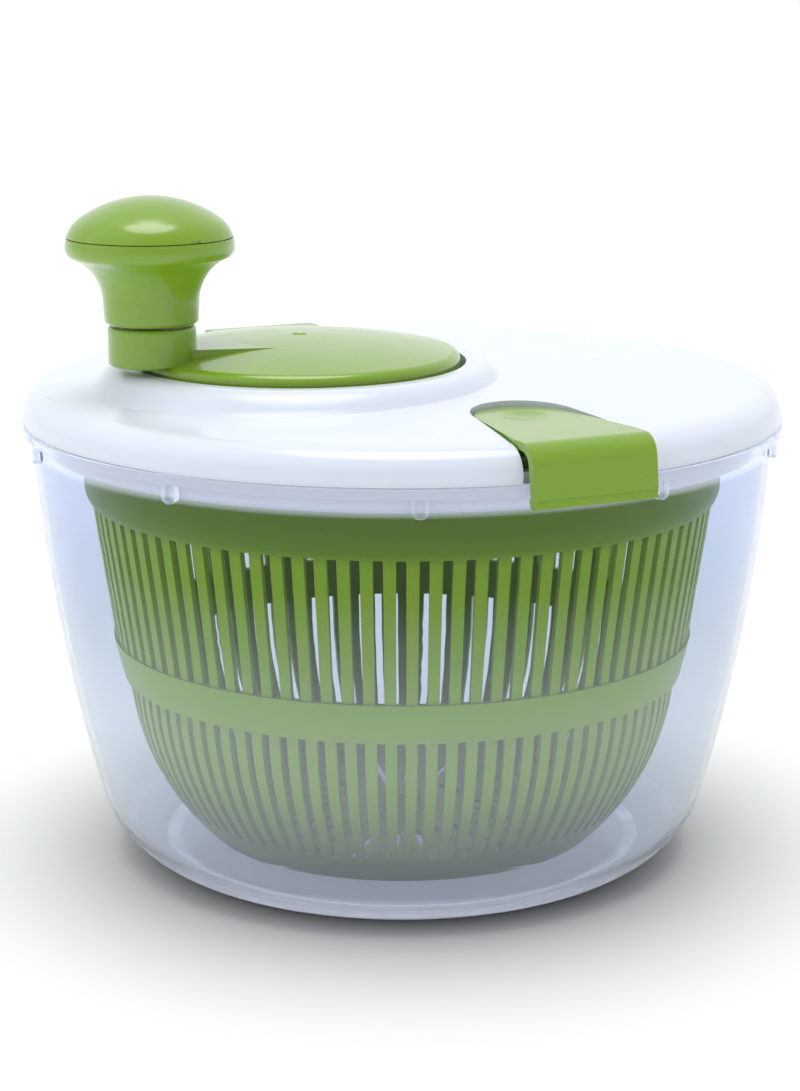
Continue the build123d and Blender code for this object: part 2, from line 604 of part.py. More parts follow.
with BuildPart() as lid_shell:
    add(lid_envelope.part)
    with BuildSketch(Plane.XZ):
        with BuildLine():
            inner_r = SKIRT_TOP_R - SKIRT_WALL
            under = TangentArc(
                (0, CROWN_Z - LID_WALL),
                (inner_r - LID_SHOULDER_IN / 2, CROWN_EDGE_Z - LID_WALL),
                tangent=(1, 0),
            )
            TangentArc(under @ 1, (inner_r, SHOULDER_Z + LID_WALL), tangent=under % 1)
            Polyline(
                (inner_r, SHOULDER_Z + LID_WALL),
                (inner_r, LID_EDGE),
                (0, LID_EDGE),
                (0, CROWN_Z - LID_WALL),
            )
        make_face()
        with BuildLine():
            outer_r = LID_R - LID_WALL
            Polyline(
                (outer_r, SHOULDER_Z),
                (outer_r, LID_EDGE),
                (SKIRT_TOP_R, LID_EDGE),
                (SKIRT_TOP_R, SHOULDER_Z + LID_SHOULDER_TALL - 2 * LID_WALL),
            )
            ThreePointArc(
                (outer_r, SHOULDER_Z),
                ((outer_r + SKIRT_TOP_R) / 2 + LID_WALL / 4, SHOULDER_Z + LID_SHOULDER_TALL / 3),
                (SKIRT_TOP_R, SHOULDER_Z + LID_SHOULDER_TALL - 2 * LID_WALL),
            )
        make_face()
    revolve(axis=Axis.Z, mode=Mode.SUBTRACT)
    with BuildSketch(CRANK_CENTRE):
        with BuildLine():
            hollow = Spline(
                (WELL_R + COLLAR_CREST, crest_z - LID_WALL),
                (WELL_R + COLLAR_CREST + COLLAR_SLOPE - LID_WALL, CROWN_Z - COLLAR_FOOT - LID_WALL),
                tangents=[(1, 0), (1, 0)],
            )
            Polyline(
                hollow @ 1,
                (WELL_R + WELL_WALL, CROWN_Z - COLLAR_FOOT - LID_WALL),
                (WELL_R + WELL_WALL, crest_z - LID_WALL),
                hollow @ 0,
            )
        make_face()
    revolve(axis=CRANK_AXIS, mode=Mode.SUBTRACT)
    add(lid_pockets.part)
    with BuildSketch(Plane.XY.offset(LINER_TOP)):
        for angle in LINER_SCREW_ANGLES:
            with Locations(polar(LINER_SCREW_R, radians(angle))):
                Circle(LINER_BOSS_R)
    extrude(amount=CROWN_EDGE_Z - LINER_TOP)
    with BuildSketch(Plane.XZ):
        with BuildLine():
            Polyline(
                (SKIRT_TOP_R, SHOULDER_Z + LID_WALL),
                (SKIRT_TOP_R, LID_EDGE),
                (SKIRT_LOW_R, LID_EDGE - SKIRT_DROP),
                (SKIRT_LOW_R - SKIRT_WALL, LID_EDGE - SKIRT_DROP),
                (SKIRT_TOP_R - SKIRT_WALL, LID_EDGE),
                (SKIRT_TOP_R - SKIRT_WALL, SHOULDER_Z + LID_WALL),
                close=True,
            )
        make_face()
    revolve(axis=Axis.Z)
    with BuildSketch(Plane.XY.offset(BOSS_LOW)):
        with Locations((CRANK_X, 0)):
            Circle(CRANK_STUB_R + RUN_FIT + 2 * BUSH_WALL)
        with Locations((0, 0)):
            Circle(PINION_SHAFT_R + RUN_FIT + 2 * BUSH_WALL)
    extrude(amount=BUSH_BOSS + WELL_FLOOR)
    with BuildSketch(Plane.XY.offset(WELL_TOP)):
        with Locations((CRANK_X, 0)):
            Circle(WELL_R)
    extrude(amount=CROWN_Z, mode=Mode.SUBTRACT)
    with BuildSketch(Plane.XY.offset(BOSS_LOW)):
        with Locations((CRANK_X, 0)):
            Circle(CRANK_STUB_R + RUN_FIT + BUSH_WALL)
        with Locations((0, 0)):
            Circle(PINION_SHAFT_R + RUN_FIT + BUSH_WALL)
    extrude(amount=BUSH_BOSS + WELL_FLOOR, mode=Mode.SUBTRACT)
    with BuildSketch(Plane.XY.offset(POCKET_Z)):
        pocket_plan = latch_plan(LATCH_GAP, LATCH_TIP_GAP, FLANGE_R + LATCH_SKIRT_OUT)
        with PolarLocations(0, 2):
            add(pocket_plan)
    extrude(amount=CROWN_Z, mode=Mode.SUBTRACT)
    with BuildSketch(Plane.XY.offset(LID_EDGE)):
        with PolarLocations(FLANGE_R, 2, start_angle=90):
            Rectangle(2 * NOTCH_IN, LATCH_WIDTH + 2 * LATCH_GAP)
    extrude(amount=LATCH_BEND_Z, mode=Mode.SUBTRACT)
    with BuildSketch(Plane.YZ.offset(-LATCH_WIDTH / 2 - LATCH_GAP - POCKET_WALL)):
        with Locations((-LATCH_PIN_R, LATCH_PIN_Z), (LATCH_PIN_R, LATCH_PIN_Z)):
            Circle(PIN_R)
    extrude(amount=LATCH_WIDTH + 2 * (LATCH_GAP + POCKET_WALL), mode=Mode.SUBTRACT)
    with BuildSketch(Plane.XY.offset(LINER_TOP)):
        for angle in LINER_SCREW_ANGLES:
            with Locations(polar(LINER_SCREW_R, radians(angle))):
                Circle(SCREW_R)
    extrude(amount=CROWN_EDGE_Z - LINER_TOP - 2 * LID_WALL, mode=Mode.SUBTRACT)
lid_shell.part.label = "lid_shell"
export_step(lid_shell.part, "parts/lid_shell.step")

with BuildPart() as lid_liner:
    with BuildSketch(Plane.XY.offset(LINER_LOW)):
        Circle(LINER_R)
    extrude(amount=LINER_THICK)
    with BuildSketch(Plane.XY.offset(LINER_TOP)):
        Circle(PINION_SHAFT_R + 2 * BUSH_WALL)
    extrude(amount=BUSH_BOSS)
    with BuildSketch(Plane.XY.offset(LINER_LOW)):
        Circle(PINION_SHAFT_R + RUN_FIT)
        for angle in LINER_SCREW_ANGLES:
            with Locations(polar(LINER_SCREW_R, radians(angle))):
                Circle(SCREW_R + HOLE_FIT)
    extrude(amount=LINER_THICK + BUSH_BOSS, mode=Mode.SUBTRACT)
lid_liner.part.label = "lid_liner"
export_step(lid_liner.part, "parts/lid_liner.step")

liner_screw = pan_screw(LINER_SCREW_LENGTH)
with BuildPart() as liner_screws:
    for angle in LINER_SCREW_ANGLES:
        screw_x, screw_y = polar(LINER_SCREW_R, radians(angle))
        with Locations((screw_x, screw_y, LINER_LOW)):
            add(liner_screw)
liner_screws.part.label = "liner_screws"
export_step(liner_screws.part, "parts/liner_screws.step")


def flanged_bush(bore_r):
    """Bush with its flange on the well's floor and its lower end flush with the boss."""
    outer_r = bore_r + BUSH_WALL
    with BuildPart() as bush:
        with BuildSketch(Plane.XZ):
            with BuildLine():
                Polyline(
                    (bore_r, BOSS_LOW),
                    (outer_r, BOSS_LOW),
                    (outer_r, WELL_TOP),
                    (outer_r + BUSH_FLANGE_R, WELL_TOP),
                    (outer_r + BUSH_FLANGE_R, WELL_TOP + BUSH_FLANGE),
                    (bore_r, WELL_TOP + BUSH_FLANGE),
                    close=True,
                )
            make_face()
        revolve(axis=Axis.Z)
    return bush.part


crank_bush_form = flanged_bush(CRANK_STUB_R + RUN_FIT)
with BuildPart() as crank_bush:
    with Locations((CRANK_X, 0, 0)):
        add(crank_bush_form)
crank_bush.part.label = "crank_bush"
export_step(crank_bush.part, "parts/crank_bush.step")

pinion_bush_form = flanged_bush(PINION_SHAFT_R + RUN_FIT)
with BuildPart() as pinion_bush:
    add(pinion_bush_form)
pinion_bush.part.label = "pinion_bush"
export_step(pinion_bush.part, "parts/pinion_bush.step")

# ---------------------------------------------------------------- crank
with BuildPart() as crank_arm:
    with BuildSketch(Plane.XY.offset(BOSS_LOW_Z)):
        with Locations((CRANK_X, 0)):
            Circle(ARM_ROOT_R)
        with Locations((KNOB_X, 0)):
            Circle(ARM_END_R)
        make_hull()
    extrude(amount=DISC_CROWN_Z - ARM_DROP - BOSS_LOW_Z, taper=ARM_DRAFT)

with BuildPart() as crank:
    with BuildSketch(CRANK_CENTRE):
        with BuildLine():
            top = TangentArc(
                (0, DISC_CROWN_Z), (DISC_R - DISC_EDGE_IN, DISC_EDGE_Z), tangent=(1, 0)
            )
            TangentArc(top @ 1, (DISC_R, DISC_SIDE_Z), tangent=top % 1)
            Polyline(
                (DISC_R, DISC_SIDE_Z),
                (DISC_R, DISC_LOW),
                (DISC_R - DISC_WALL, DISC_LOW),
                (DISC_R - DISC_WALL, DISC_SIDE_Z - DISC_TOP / 2),
            )
            ThreePointArc(
                (DISC_R - DISC_WALL, DISC_SIDE_Z - DISC_TOP / 2),
                (DISC_R - DISC_WALL - DISC_EDGE_IN / 5, DISC_SIDE_Z),
                (DISC_R - DISC_WALL - DISC_EDGE_IN, DISC_EDGE_Z - DISC_TOP),
            )
            TangentArc(
                (0, DISC_CROWN_Z - DISC_TOP),
                (DISC_R - DISC_WALL - DISC_EDGE_IN, DISC_EDGE_Z - DISC_TOP),
                tangent=(1, 0),
            )
            Line((0, DISC_CROWN_Z), (0, DISC_CROWN_Z - DISC_TOP))
        make_face()
    revolve(axis=CRANK_AXIS)
    with BuildSketch(Plane.XY.offset(GEAR_LOW)):
        with Locations((CRANK_X, 0)):
            Circle(CRANK_HUB_R)
    extrude(amount=DISC_CROWN_Z - DISC_TOP / 2 - GEAR_LOW)
    with BuildSketch(Plane.XY.offset(STUB_LOW)):
        with Locations((CRANK_X, 0)):
            Circle(CRANK_STUB_R)
    extrude(amount=GEAR_LOW - STUB_LOW)
    with BuildSketch(Plane.XY.offset(WEB_HIGH)):
        with Locations((CRANK_X, 0)):
            with PolarLocations(RING_SCREW_R, RING_SCREWS, start_angle=90):
                Circle(SCREW_R + BUSH_WALL)
    extrude(amount=DISC_EDGE_Z + DISC_TOP / 5 - WEB_HIGH)
    add(crank_arm.part)
    with BuildSketch(KNOB_CENTRE):
        with BuildLine():
            Polyline(
                (0, BOSS_TOP_Z),
                (0, BOSS_LOW_Z),
                (BOSS_R - EDGE, BOSS_LOW_Z),
                (BOSS_R, BOSS_LOW_Z + EDGE),
                (BOSS_R, BOSS_TOP_Z - BOSS_EDGE),
            )
            TangentArc(
                (BOSS_R, BOSS_TOP_Z - BOSS_EDGE), (BOSS_R - BOSS_EDGE, BOSS_TOP_Z), tangent=(0, 1)
            )
            Line((BOSS_R - BOSS_EDGE, BOSS_TOP_Z), (0, BOSS_TOP_Z))
        make_face()
    revolve(axis=KNOB_AXIS)
    with BuildSketch(Plane.XY.offset(SPINDLE_LOW)):
        with Locations((KNOB_X, 0)):
            Circle(SPINDLE_R)
    extrude(amount=SPINDLE_SUNK, mode=Mode.SUBTRACT)
    dimple_sphere = (DIMPLE_R**2 + DIMPLE_DEEP**2) / (2 * DIMPLE_DEEP)
    with Locations((CRANK_X, 0, DISC_CROWN_Z - DIMPLE_DEEP + dimple_sphere)):
        Sphere(dimple_sphere, mode=Mode.SUBTRACT)
    with BuildSketch(Plane.XY.offset(STUB_LOW)):
        with Locations((CRANK_X, 0)):
            Circle(SCREW_R)
    extrude(amount=CENTRE_SCREW_LENGTH - WASHER_THICK + HOLE_DEEPER, mode=Mode.SUBTRACT)
    with BuildSketch(Plane.XY.offset(WEB_HIGH)):
        with Locations((CRANK_X, 0)):
            with PolarLocations(RING_SCREW_R, RING_SCREWS, start_angle=90):
                Circle(SCREW_R)
    extrude(amount=RING_SCREW_LENGTH - RING_WEB + HOLE_DEEPER / 2, mode=Mode.SUBTRACT)
crank.part.label = "crank"
export_step(crank.part, "parts/crank.step")

ring_space = gear_outline(RING_TEETH, RING_ROOT_R, RING_TIP_R, -BACKLASH)
with BuildPart() as ring_gear:
    with BuildSketch(Plane.XY.offset(RING_LOW)):
        with Locations((CRANK_X, 0)):
            Circle(RING_OUTER_R)
            add(ring_space, mode=Mode.SUBTRACT)
    extrude(amount=RING_FACE)
    with BuildSketch(Plane.XY.offset(RING_HIGH)):
        with Locations((CRANK_X, 0)):
            Circle(RING_OUTER_R)
            Circle(RING_SCREW_R - 2 * SCREW_HEAD_R, mode=Mode.SUBTRACT)
    extrude(amount=RING_WEB)
    with Locations(Plane.XY.offset(RING_HIGH)):
        with Locations((CRANK_X, 0)):
            with PolarLocations(RING_SCREW_R, RING_SCREWS, start_angle=90):
                with Locations(Rotation(180, 0, 0)):
                    CounterSinkHole(SCREW_R + HOLE_FIT, SCREW_HEAD_R + HOLE_FIT, depth=RING_WEB)
ring_gear.part.label = "ring_gear"
export_step(ring_gear.part, "parts/ring_gear.step")

ring_screw = flush_screw(RING_SCREW_LENGTH)
with BuildPart() as ring_gear_screws:
    with Locations((CRANK_X, 0, RING_HIGH)):
        with PolarLocations(RING_SCREW_R, RING_SCREWS, start_angle=90):
            add(ring_screw)
ring_gear_screws.part.label = "ring_gear_screws"
export_step(ring_gear_screws.part, "parts/ring_gear_screws.step")


def washer(outer_r):
    """Flat washer lying on Z=0."""
    with BuildPart() as ring:
        with BuildSketch():
            Circle(outer_r)
            Circle(SCREW_R + HOLE_FIT, mode=Mode.SUBTRACT)
        extrude(amount=WASHER_THICK)
    return ring.part


crank_washer_form = washer(CRANK_STUB_R + WASHER_OVER)
with BuildPart() as crank_washer:
    with Locations((CRANK_X, 0, STUB_LOW - WASHER_THICK)):
        add(crank_washer_form)
crank_washer.part.label = "crank_washer"
export_step(crank_washer.part, "parts/crank_washer.step")

crank_screw_form = pan_screw(CENTRE_SCREW_LENGTH)
with BuildPart() as crank_screw:
    with Locations((CRANK_X, 0, STUB_LOW - WASHER_THICK)):
        add(crank_screw_form)
crank_screw.part.label = "crank_screw"
export_step(crank_screw.part, "parts/crank_screw.step")

# ---------------------------------------------------------------- pinion and drive plate
pinion_teeth = gear_outline(
    PINION_TEETH, PINION_PITCH_R + PINION_ADDENDUM, PINION_PITCH_R - RING_ADDENDUM - ROOT_GAP, BACKLASH
)
with BuildPart() as pinion:
    with BuildSketch(Plane.XY.offset(GEAR_LOW)):
        add(pinion_teeth)
    extrude(amount=PINION_FACE)
    with BuildSketch(Plane.XY.offset(SQUARE_HIGH)):
        Circle(PINION_SHAFT_R)
    extrude(amount=GEAR_LOW - SQUARE_HIGH)
    with BuildSketch(Plane.XY.offset(SQUARE_LOW)):
        Rectangle(DRIVE_SQUARE, DRIVE_SQUARE)
    extrude(amount=DRIVE_SQUARE_TALL)
    with BuildSketch(Plane.XY.offset(SQUARE_LOW)):
        Circle(SCREW_R)
    extrude(amount=CENTRE_SCREW_LENGTH - WASHER_THICK - PLATE_HUB_FLOOR + HOLE_DEEPER, mode=Mode.SUBTRACT)
pinion.part.label = "pinion"
export_step(pinion.part, "parts/pinion.step")

with BuildPart() as drive_plate:
    window_end = PLATE_R - PLATE_WINDOW_MARGIN
    with BuildSketch(Plane.XY.offset(PLATE_HIGH - PLATE_THICK)):
        Circle(PLATE_R - PLATE_RIM_WALL / 2)
        window_r = (PLATE_WINDOW_START_R + window_end) / 2
        with PolarLocations(window_r, PLATE_WINDOWS, start_angle=180 / PLATE_WINDOWS):
            window_length = window_end - PLATE_WINDOW_START_R
            SlotOverall(window_length, PLATE_WINDOW_WIDTH, mode=Mode.SUBTRACT)
    extrude(amount=PLATE_THICK)
    with BuildSketch(Plane.XY.offset(PLATE_HIGH - PLATE_RIM_TALL)):
        Circle(PLATE_R)
        with PolarLocations(PLATE_R, DOG_COUNT):
            Rectangle(2 * PLATE_LUG, PLATE_LUG_WIDTH)
        Circle(PLATE_R - PLATE_RIM_WALL, mode=Mode.SUBTRACT)
    extrude(amount=PLATE_RIM_TALL)
    with BuildSketch(Plane.XY.offset(HUB_LOW)):
        Circle(PLATE_HUB_R)
    extrude(amount=HUB_HIGH - HUB_LOW)
    with BuildSketch(Plane.XY.offset(PLATE_HIGH - PLATE_THICK / 2)):
        rib_length = PLATE_R - PLATE_RIM_WALL - PLATE_HUB_R / 2
        with PolarLocations(PLATE_HUB_R / 2 + rib_length / 2, PLATE_WINDOWS):
            Rectangle(rib_length, PLATE_THICK)
    extrude(amount=PLATE_THICK)
    with BuildSketch(Plane.XY.offset(SQUARE_LOW)):
        Rectangle(DRIVE_SQUARE + SQUARE_FIT, DRIVE_SQUARE + SQUARE_FIT)
    extrude(amount=HUB_HIGH - SQUARE_LOW, mode=Mode.SUBTRACT)
    with BuildSketch(Plane.XY.offset(HUB_LOW)):
        Circle(SCREW_R + HOLE_FIT)
    extrude(amount=PLATE_HUB_FLOOR, mode=Mode.SUBTRACT)
drive_plate.part.label = "drive_plate"
export_step(drive_plate.part, "parts/drive_plate.step")

plate_washer_form = washer(PINION_SHAFT_R + WASHER_OVER)
with BuildPart() as drive_plate_washer:
    with Locations((0, 0, HUB_LOW - WASHER_THICK)):
        add(plate_washer_form)
drive_plate_washer.part.label = "drive_plate_washer"
export_step(drive_plate_washer.part, "parts/drive_plate_washer.step")

plate_screw_form = pan_screw(CENTRE_SCREW_LENGTH)
with BuildPart() as drive_plate_screw:
    with Locations((0, 0, HUB_LOW - WASHER_THICK)):
        add(plate_screw_form)
drive_plate_screw.part.label = "drive_plate_screw"
export_step(drive_plate_screw.part, "parts/drive_plate_screw.step")

# ---------------------------------------------------------------- knob
SEAM_Z = KNOB_LOW + KNOB_SEAM
LEDGE_Z = SEAM_Z - CAP_PLUG_TALL
MOUTH_R = KNOB_R - KNOB_WALL

with BuildPart() as knob_form:
    with BuildSketch(KNOB_CENTRE):
        with BuildLine():
            dome = TangentArc(
                (0, KNOB_LOW + KNOB_TALL), (KNOB_SHOULDER_R, KNOB_LOW + KNOB_SHOULDER), tangent=(1, 0)
            )
            belly = TangentArc(dome @ 1, (KNOB_R, KNOB_LOW + KNOB_BELLY), tangent=dome % 1)
            turn = TangentArc(
                belly @ 1, (KNOB_R - KNOB_WALL, KNOB_LOW + KNOB_FLARE_TALL), tangent=(0, -1)
            )
            flare_end = (KNOB_NECK_R + KNOB_NECK_DRAFT, KNOB_LOW + KNOB_NECK_TALL)
            flare = TangentArc(turn @ 1, flare_end, tangent=turn % 1)
            Polyline(
                flare @ 1,
                (KNOB_NECK_R, KNOB_LOW + EDGE),
                (KNOB_NECK_R - EDGE, KNOB_LOW),
                (0, KNOB_LOW),
                (0, KNOB_LOW + KNOB_TALL),
            )
        make_face()
    revolve(axis=KNOB_AXIS)

with BuildPart() as knob_body:
    add(knob_form.part)
    with BuildSketch(Plane.XY.offset(SEAM_Z)):
        with Locations((KNOB_X, 0)):
            Circle(2 * KNOB_R)
    extrude(amount=KNOB_TALL, mode=Mode.SUBTRACT)
    with BuildSketch(KNOB_CENTRE):
        with BuildLine():
            hub_z = KNOB_LOW + KNOB_HUB_TALL
            Polyline(
                (0, SEAM_Z),
                (0, hub_z),
                (KNOB_HUB_R, hub_z),
                (KNOB_HUB_R, KNOB_LOW + KNOB_WALL),
                (KNOB_NECK_R - KNOB_WALL, KNOB_LOW + KNOB_WALL),
                (KNOB_NECK_R - KNOB_WALL, KNOB_LOW + KNOB_NECK_TALL),
                (KNOB_R - 3 * KNOB_WALL, KNOB_LOW + KNOB_FLARE_TALL),
                (MOUTH_R - CAP_PLUG_WALL, LEDGE_Z),
                (MOUTH_R, LEDGE_Z),
                (MOUTH_R, SEAM_Z),
                close=True,
            )
        make_face()
    revolve(axis=KNOB_AXIS, mode=Mode.SUBTRACT)
    with BuildSketch(Plane.XY.offset(KNOB_LOW)):
        with Locations((KNOB_X, 0)):
            Circle(SPINDLE_R + RUN_FIT)
    extrude(amount=KNOB_HUB_TALL, mode=Mode.SUBTRACT)
knob_body.part.label = "knob_body"
export_step(knob_body.part, "parts/knob_body.step")

with BuildPart() as knob_cap:
    add(knob_form.part)
    with BuildSketch(Plane.XY.offset(KNOB_LOW)):
        with Locations((KNOB_X, 0)):
            Circle(2 * KNOB_R)
    extrude(amount=KNOB_SEAM + SEAM_GAP, mode=Mode.SUBTRACT)
    with BuildSketch(Plane.XY.offset(LEDGE_Z)):
        with Locations((KNOB_X, 0)):
            Circle(MOUTH_R - CAP_FIT)
    extrude(amount=CAP_PLUG_TALL + KNOB_WALL)
    with BuildSketch(KNOB_CENTRE):
        with BuildLine():
            plug_in = MOUTH_R - CAP_FIT - CAP_PLUG_WALL
            Polyline(
                (0, KNOB_LOW + KNOB_TALL - KNOB_WALL),
                (0, LEDGE_Z),
                (plug_in, LEDGE_Z),
                (plug_in, SEAM_Z + KNOB_WALL),
                (KNOB_SHOULDER_R - KNOB_WALL, KNOB_LOW + KNOB_SHOULDER - KNOB_WALL),
            )
            TangentArc(
                (0, KNOB_LOW + KNOB_TALL - KNOB_WALL),
                (KNOB_SHOULDER_R - KNOB_WALL, KNOB_LOW + KNOB_SHOULDER - KNOB_WALL),
                tangent=(1, 0),
            )
        make_face()
    revolve(axis=KNOB_AXIS, mode=Mode.SUBTRACT)
    with BuildSketch(Plane.XY.offset(SEAM_Z)):
        with Locations((KNOB_X, 0)):
            with PolarLocations(KNOB_R, 1, start_angle=PRY_ANGLE):
                Rectangle(KNOB_WALL, PRY_WIDTH)
    extrude(amount=KNOB_WALL / 2, mode=Mode.SUBTRACT)
knob_cap.part.label = "knob_cap"
export_step(knob_cap.part, "parts/knob_cap.step")

with BuildPart() as knob_spindle:
    with BuildSketch(Plane.XY.offset(SPINDLE_LOW)):
        with Locations((KNOB_X, 0)):
            Circle(SPINDLE_R)
    extrude(amount=SPINDLE_TOP - SPINDLE_LOW)
    knob_hole_deep = KNOB_SCREW_LENGTH - WASHER_THICK + HOLE_DEEPER
    with BuildSketch(Plane.XY.offset(SPINDLE_TOP - knob_hole_deep)):
        with Locations((KNOB_X, 0)):
            Circle(SCREW_R)
    extrude(amount=knob_hole_deep, mode=Mode.SUBTRACT)
knob_spindle.part.label = "knob_spindle"
export_step(knob_spindle.part, "parts/knob_spindle.step")

knob_washer_form = washer(SPINDLE_R + WASHER_OVER)
with BuildPart() as knob_washer:
    with Locations((KNOB_X, 0, SPINDLE_TOP)):
        add(knob_washer_form)
knob_washer.part.label = "knob_washer"
export_step(knob_washer.part, "parts/knob_washer.step")

knob_screw_form = pan_screw(KNOB_SCREW_LENGTH)
with BuildPart() as knob_screw:
    with Locations((KNOB_X, 0, SPINDLE_TOP + WASHER_THICK)):
        add(knob_screw_form, rotation=(180, 0, 0))
knob_screw.part.label = "knob_screw"
export_step(knob_screw.part, "parts/knob_screw.step")

# ---------------------------------------------------------------- latches
LATCH_TIP_R = LATCH_PAD_R - LATCH_END_R - LATCH_WALL
TIP_Z = LID_EDGE + LATCH_TIP_Z
BEND_R = FLANGE_R + LATCH_BEND_OUT
BEND_Z = LID_EDGE + LATCH_BEND_Z
SKIRT_R = FLANGE_R + LATCH_SKIRT_OUT
SKIRT_Z = LID_EDGE + LATCH_BOTTOM
STEP_R = SKIRT_R - (SKIRT_R - BEND_R) * LATCH_STEP_TALL / (BEND_Z - SKIRT_Z)
NIB_R = FLANGE_R + NIB_GAP

outer_plan = latch_plan(0, 0, SKIRT_R)
with BuildPart() as front_latch:
    with BuildSketch(Plane.YZ):
        with BuildLine():
            FilletPolyline(
                (-LATCH_TIP_R, TIP_Z),
                (-BEND_R, BEND_Z),
                (-STEP_R, SKIRT_Z + LATCH_STEP_TALL),
                radius=LATCH_BEND_R,
            )
            Polyline(
                (-STEP_R, SKIRT_Z + LATCH_STEP_TALL),
                (-STEP_R + LATCH_STEP, SKIRT_Z + LATCH_STEP_TALL - LATCH_STEP),
                (-SKIRT_R + LATCH_STEP, SKIRT_Z),
                (-SKIRT_R + LATCH_WALL, SKIRT_Z),
                (-NIB_R, SKIRT_Z + NIB_TALL / 2),
                (-NIB_R, SKIRT_Z + NIB_TALL),
                (-STEP_R + LATCH_WALL, SKIRT_Z + LATCH_STEP_TALL + LATCH_STEP),
            )
            FilletPolyline(
                (-STEP_R + LATCH_WALL, SKIRT_Z + LATCH_STEP_TALL + LATCH_STEP),
                (-BEND_R + LATCH_WALL, BEND_Z - LATCH_WALL),
                (-LATCH_TIP_R, TIP_Z - LATCH_WALL),
                radius=LATCH_BEND_R - LATCH_WALL,
            )
            Line((-LATCH_TIP_R, TIP_Z - LATCH_WALL), (-LATCH_TIP_R, TIP_Z))
        make_face()
    extrude(amount=LATCH_WIDTH / 2, both=True)
    with BuildSketch(Plane.XY.offset(SKIRT_Z)):
        add(outer_plan)
    extrude(amount=TIP_Z - SKIRT_Z, mode=Mode.INTERSECT)
    pad_z = TIP_Z + (BEND_Z - TIP_Z) * (LATCH_PAD_R - LATCH_TIP_R) / (BEND_R - LATCH_TIP_R)
    pad_sphere = (PAD_R**2 + PAD_DEEP**2) / (2 * PAD_DEEP)
    with Locations((0, -LATCH_PAD_R, pad_z - PAD_DEEP + pad_sphere)):
        Sphere(pad_sphere, mode=Mode.SUBTRACT)
    for side in (-1, 1):
        with BuildSketch(Plane.YZ.offset(side * EAR_OFFSET - EAR_WIDTH / 2)):
            with Locations((-LATCH_PIN_R, LATCH_PIN_Z)):
                Circle(EAR_R)
            ear_top = BEND_Z - LATCH_WALL / 2 - LATCH_PIN_Z
            with Locations((-LATCH_PIN_R, LATCH_PIN_Z + ear_top / 2)):
                Rectangle(2 * EAR_R, ear_top)
        extrude(amount=EAR_WIDTH)
    with BuildSketch(Plane.YZ.offset(-LATCH_WIDTH / 2)):
        with Locations((-LATCH_PIN_R, LATCH_PIN_Z)):
            Circle(PIN_R + RUN_FIT)
    extrude(amount=LATCH_WIDTH, mode=Mode.SUBTRACT)
front_latch.part.label = "front_latch"
export_step(front_latch.part, "parts/front_latch.step")

with BuildPart() as rear_latch:
    add(front_latch.part, rotation=(0, 0, 180))
rear_latch.part.label = "rear_latch"
export_step(rear_latch.part, "parts/rear_latch.step")

with BuildPart() as front_latch_pin:
    with BuildSketch(Plane.YZ.offset(-LATCH_WIDTH / 2 - LATCH_GAP - POCKET_WALL)):
        with Locations((-LATCH_PIN_R, LATCH_PIN_Z)):
            Circle(PIN_R)
    extrude(amount=LATCH_WIDTH + 2 * (LATCH_GAP + POCKET_WALL))
front_latch_pin.part.label = "front_latch_pin"
export_step(front_latch_pin.part, "parts/front_latch_pin.step")

with BuildPart() as rear_latch_pin:
    add(front_latch_pin.part, rotation=(0, 0, 180))
rear_latch_pin.part.label = "rear_latch_pin"
export_step(rear_latch_pin.part, "parts/rear_latch_pin.step")
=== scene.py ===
import json
from math import cos, radians, sin

import bpy
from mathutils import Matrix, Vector

# Looks of the salad spinner: a clear bowl, green basket, white lid, green crank, knob and latches.
# Metres, in the CAD model's frame: +Z up, the latches at -Y and +Y, the crank's axis at -X.

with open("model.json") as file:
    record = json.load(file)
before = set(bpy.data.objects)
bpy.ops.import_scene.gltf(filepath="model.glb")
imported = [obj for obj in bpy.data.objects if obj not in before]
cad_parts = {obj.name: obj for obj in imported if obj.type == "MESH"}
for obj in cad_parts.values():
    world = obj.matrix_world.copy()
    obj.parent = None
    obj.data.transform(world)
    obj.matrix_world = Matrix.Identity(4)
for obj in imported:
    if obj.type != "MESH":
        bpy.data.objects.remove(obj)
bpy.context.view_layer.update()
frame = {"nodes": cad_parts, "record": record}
nodes = frame["nodes"]
scene = bpy.context.scene

# ---------------------------------------------------------------- sizes
CAMERA_AZIMUTH = -26.0  # degrees, as seen from above: 0 looks along +Y
CAMERA_DISTANCE = 0.8755  # horizontal distance from the object's axis
CAMERA_HEIGHT = 0.3155
AIM_HEIGHT = 0.1071
LENS = 83.7  # mm, on a 36 mm sensor
SHIFT_X = -0.0019
FLOOR_SIDE = 30.0
LIGHTS_AIM = (0.0, 0.0, 0.12)
CLEAR_TINT_LOW = (0.87, 0.91, 0.99)
CLEAR_TINT_HIGH = (0.71, 0.765, 0.89)
OPEN_LIGHT = (0.93, 0.94, 0.96)  # what one face of the bowl lets through to what is inside
THICK_LIGHT = (0.12, 0.12, 0.14)  # the same at the foot and the rim
# Painted reflection: a whitish diffuse veil on the bowl's lower wall, and a painted highlight of it at the
# foot and the rim.
PAINTED_VEIL_COLOUR = (0.86, 0.90, 1.0)
PAINTED_VEIL_AMOUNT = 0.13
EDGE_PAINTED_SHEEN = 0.25
# Painted glow: light given off by the bowl's foot and rim, though they are no lamp.
EDGE_PAINTED_GLOW = 0.28
PAINTED_GLOW_COLOUR = (0.78, 0.84, 1.0)

